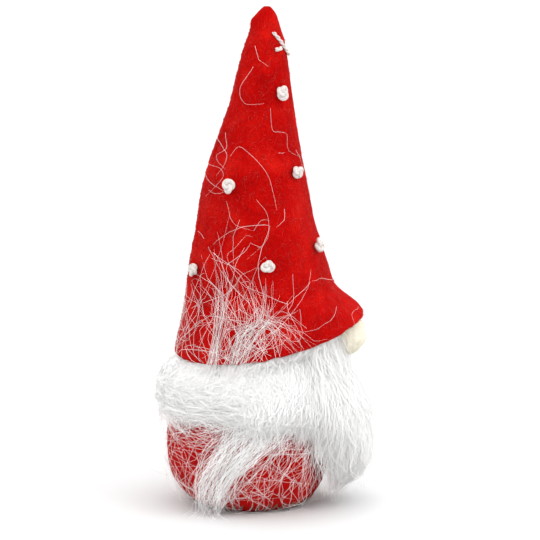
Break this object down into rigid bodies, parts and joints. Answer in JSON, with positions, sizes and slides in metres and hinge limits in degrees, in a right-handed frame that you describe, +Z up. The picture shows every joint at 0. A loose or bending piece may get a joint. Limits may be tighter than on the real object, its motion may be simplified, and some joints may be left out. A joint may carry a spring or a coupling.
{
  "type": "tomte gnome figurine",
  "caption": "Small standing felt gnome: round weighted sack body, long white fur beard and hair, ball nose and a tall pointed red felt hat with white stitched knots.",
  "frame": {"origin": "centre of the flat underside of the base disc", "axes": "+Z up along the figure, the gnome faces -Y, +X is the gnome's left-hand side"},
  "size_m": [0.0588, 0.0661, 0.1505],
  "materials": {
    "red_felt": "matt pressed wool felt",
    "white_fur": "long white fur pile with a soft sheen",
    "knit_backing": "matt knitted backing cloth",
    "cream_felt": "matt cream felted wool",
    "white_yarn": "matt twisted cotton yarn",
    "red_thread": "sewing thread",
    "dark_thread": "sewing thread",
    "cardboard": "matt grey-brown card",
    "wadding": "loose polyester wadding",
    "ballast_cloth": "plain cotton pouch filled with pellets",
    "hot_glue": "translucent hot-melt glue"
  },
  "bodies": {
    "root": {"hat": "red_felt", "body_cover": "red_felt", "base_disc": "red_felt", "beard_pile": "white_fur", "hair_pile": "white_fur", "beard_backing": "knit_backing", "hair_backing": "knit_backing", "nose_ball": "cream_felt", "hat_knot_01": "white_yarn", "hat_knot_02": "white_yarn", "hat_knot_03": "white_yarn", "hat_knot_04": "white_yarn", "hat_knot_05": "white_yarn", "hat_knot_06": "white_yarn", "hat_knot_07": "white_yarn", "hat_knot_08": "white_yarn", "hat_knot_09": "white_yarn", "hat_knot_10": "white_yarn", "hat_knot_11": "white_yarn", "hat_knot_12": "white_yarn", "hat_knot_13": "white_yarn", "tip_stitch_long": "white_yarn", "tip_stitch_short": "white_yarn", "gather_tie": "white_yarn", "hat_seam_thread": "red_thread", "base_seam_thread": "dark_thread", "base_stiffener": "cardboard", "body_filling": "wadding", "hat_filling": "wadding", "ballast_pouch": "ballast_cloth", "hat_glue_ring": "hot_glue", "nose_glue_pad": "hot_glue"}
  },
  "joints": []
}
